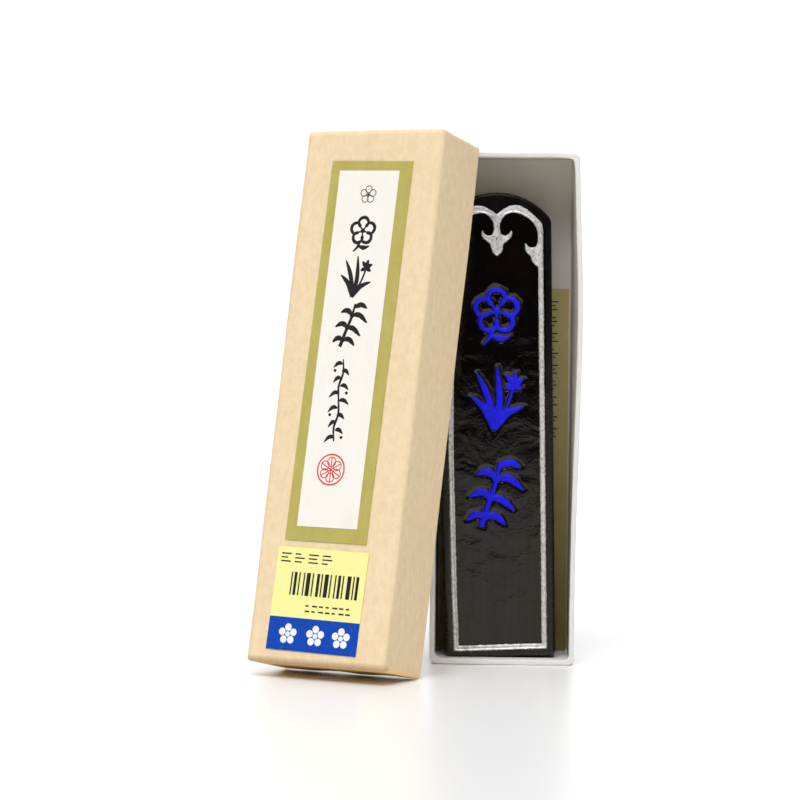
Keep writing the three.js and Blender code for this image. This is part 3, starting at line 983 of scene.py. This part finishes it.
def make_stick(polished, rough, silver, blue):
    place = stick_place()
    kinds = [f"blue_inlay_{kind}" for kind in ("blossom", "orchid", "bamboo")]
    body = remeshed("ink_body", "stick_body", BODY_VOXEL, lambda p: p, 3)
    points = get_points(body)
    points[np.abs(points[:, 1]) < 0.05, 1] = 0.0
    sink_round(points, outline_tree(kinds))
    set_points(body, points + side_bow(points))
    stick = new_object("stick_body", body, "stick", polished, place)
    body.materials.append(rough)
    body.materials.append(shaded_recess_ink())
    centres = np.empty(len(body.polygons) * 3)
    body.polygons.foreach_get("center", centres)
    centres = centres.reshape(-1, 3) / MM
    normals = np.empty(len(body.polygons) * 3)
    body.polygons.foreach_get("normal", normals)
    outside = ~in_field(centres - side_bow(centres) - foot_tilt(centres))
    # Up-facing slopes in the field take the dull black as painted shade
    wall = ~outside & (normals.reshape(-1, 3)[:, 2] > 0.2)
    body.polygons.foreach_set("material_index", outside + 2 * wall)
    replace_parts(stick, "ink_body")

    def seat(p):
        return Vector((p.x, 0.12 if p.y > -0.1 else p.y, p.z))

    border = remeshed("silver_border", "silver_line", BORDER_VOXEL, seat, 2)
    points = get_points(border)
    ridge(points, outline_tree(["silver_border"]))
    points = jitter(jitter(jitter(points, 0.07, 2.2, 4.0), 0.06, 5.0, 7.0), 0.04, 11.0, 2.0)
    set_points(border, points + side_bow(points) + foot_tilt(points))
    line = new_object("silver_line", border, "stick", silver, place)
    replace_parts(line, "silver_border")

    def sink(p):
        return Vector((p.x, RECESS_EDGE if p.y < 0.3 else p.y + 0.1, p.z))

    for node in kinds:
        name = node.replace("_inlay", "")
        paint = remeshed(node, name, INLAY_VOXEL, sink, 2)
        points = get_points(paint)
        pillow(points, outline_tree([node]))
        set_points(paint, jitter(points, 0.08, 1.1, 9.0))
        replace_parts(new_object(name, paint, "stick", blue, place), node)


# ---- Stage -------------------------------------------------------------------------------------

def stage_object(name, verts, faces, material):
    obj = bpy.data.objects.new(name, mesh_from(name, verts, faces, smooth=False))
    bpy.context.scene.collection.objects.link(obj)
    obj.data.materials.append(material)
    return obj


def plain(name, color, roughness):
    return Look(name, color, roughness).material


def glowing(name):
    material = bpy.data.materials.new(name)
    material.use_nodes = True
    tree = material.node_tree
    tree.nodes.clear()
    glow = tree.nodes.new("ShaderNodeEmission")
    glow.inputs["Color"].default_value = (1.0, 1.0, 1.0, 1.0)
    glow.inputs["Strength"].default_value = WALL_GLOW
    out = tree.nodes.new("ShaderNodeOutputMaterial")
    tree.links.new(glow.outputs["Emission"], out.inputs["Surface"])
    return material


def wall_arc(name, begin, end):
    """Part of a white ring of wall round the set, from one angle to another, in degrees."""
    turns = [math.radians(begin + (end - begin) * i / 24) for i in range(25)]
    low = [(RING_RADIUS * math.cos(a), RING_RADIUS * math.sin(a), -0.01) for a in turns]
    high = [(x, y, RING_HEIGHT) for x, y, _ in low]
    sides = [(i, i + 1, 26 + i, 25 + i) for i in range(24)]
    arc = stage_object(name, low + high, sides, glowing(name))
    arc.visible_diffuse = False
    arc.visible_shadow = False
    return arc


def make_stage():
    corners = [(x * FLOOR_HALF, y * FLOOR_HALF, 0) for x, y in ((-1, -1), (1, -1), (1, 1), (-1, 1))]
    floor = stage_object("floor", corners, [(0, 1, 2, 3)],
                         plain("floor", FLOOR_SHADE, FLOOR_ROUGHNESS))
    floor.location.z = -FLOOR_DROP

    # White walls give every view a clean background; only the one behind shows in the floor's sheen
    wall_arc("wall_behind", 0, 180)
    wall_arc("wall_in_front", 180, 360).visible_glossy = False

    # A dark card, seen only in reflections, ends the bright floor for the polished face
    corners = ((-CARD_HALF, 0), (CARD_HALF, 0), (CARD_HALF, CARD_HEIGHT), (-CARD_HALF, CARD_HEIGHT))
    card = stage_object("dark_card", [(x, CARD_Y, z) for x, z in corners], [(0, 1, 2, 3)],
                        plain("dark_card", CARD_SHADE, 0.9))
    card.visible_camera = False
    card.visible_diffuse = False
    card.visible_shadow = False

    # A room that is dim near the horizon, with broad soft light from above
    world = bpy.data.worlds.new("world")
    world.use_nodes = True
    tree = world.node_tree
    aim = tree.nodes.new("ShaderNodeTexCoord")
    split = tree.nodes.new("ShaderNodeSeparateXYZ")
    tree.links.new(aim.outputs["Generated"], split.inputs[0])
    rise = tree.nodes.new("ShaderNodeMapRange")
    rise.interpolation_type = "SMOOTHSTEP"
    rise.inputs["From Min"].default_value = ROOM_FADE[0]
    rise.inputs["From Max"].default_value = ROOM_FADE[1]
    rise.inputs["To Min"].default_value = ROOM_LOW
    rise.inputs["To Max"].default_value = ROOM_HIGH
    tree.links.new(split.outputs["Z"], rise.inputs["Value"])
    tree.links.new(rise.outputs["Result"], tree.nodes["Background"].inputs["Strength"])
    tree.nodes["Background"].inputs["Color"].default_value = (1.0, 1.0, 1.0, 1.0)
    bpy.context.scene.world = world

    data = bpy.data.lights.new("key", "SUN")
    data.energy = KEY_STRENGTH
    data.angle = KEY_SPREAD
    key = bpy.data.objects.new("key", data)
    key.rotation_euler = KEY_TOWARD.to_track_quat("Z", "Y").to_euler()
    bpy.context.scene.collection.objects.link(key)
    bpy.context.scene.view_settings.view_transform = "Standard"


# ---- Assembly ----------------------------------------------------------------------------------

make_camera()

papers = {"white_paper": white_paper(), "beige_paper": beige_paper(), "chipboard": chipboard(),
          "stay_paper": stay_paper(), "slip_paper": slip_paper(), "gold_paper": gold_paper(),
          "label_paper": label_paper(), "sticker_paper": sticker_paper()}
for entry in frame["record"]["subparts"]:
    if entry["material_slot"] in papers:
        mesh = nodes[entry["node"]].data
        mesh.materials.clear()
        mesh.materials.append(papers[entry["material_slot"]])

box_shell("tray_wrap", "tray", "tray", (papers["white_paper"], tray_inside_painted_shade()),
          TRAY_EDGE, TRAY_TURN, TRAY_CORNERS, tray_deform)
box_shell("lid_wrap", "lid", "lid", (papers["beige_paper"], papers["beige_paper"]),
          LID_EDGE, LID_TURN, LID_CORNERS, lid_deform)

make_stick(polished_ink(), rough_ink(), silver_paint(), blue_paint())

black = printing("black_print", (0.01, 0.009, 0.009))
red = printing("red_print", (0.72, 0.03, 0.03))
blue = printing("blue_print", (0.002, 0.062, 0.45), 0.35)
white = printing("white_print", (0.9, 0.9, 0.9), 0.4)
printed_motif("blue_inlay_blossom", "print_blossom", (6.5, 55.4), 0.62, black)
printed_motif("blue_inlay_orchid", "print_orchid", (6.2, 47.2), 0.64, black)
printed_motif("blue_inlay_bamboo", "print_bamboo", (6.3, 38.1), 0.64, black)
print_on("label_strip", "print_rosette", outline_flower(6.75, 62.9, 1.7), black)
print_on("label_strip", "print_vine", vine(5.65, 31.6, 16.1), black)
print_on("label_strip", "print_seal", seal(5.8, 10.8, 2.85), red)
print_on("price_sticker", "print_bars", sticker_marks(), black)
band = block(0.0, 0.0, 19.35, 6.15)
print_on("price_sticker", "print_band", [band], blue)
flowers = [shape for x in (4.3, 10.2, 15.7) for shape in rosette(x, 3.05, 2.05)]
print_on("price_sticker", "print_flowers", flowers, white, layer=1)
print_on("caution_slip", "print_ticks", slip_marks(), black)

make_stage()
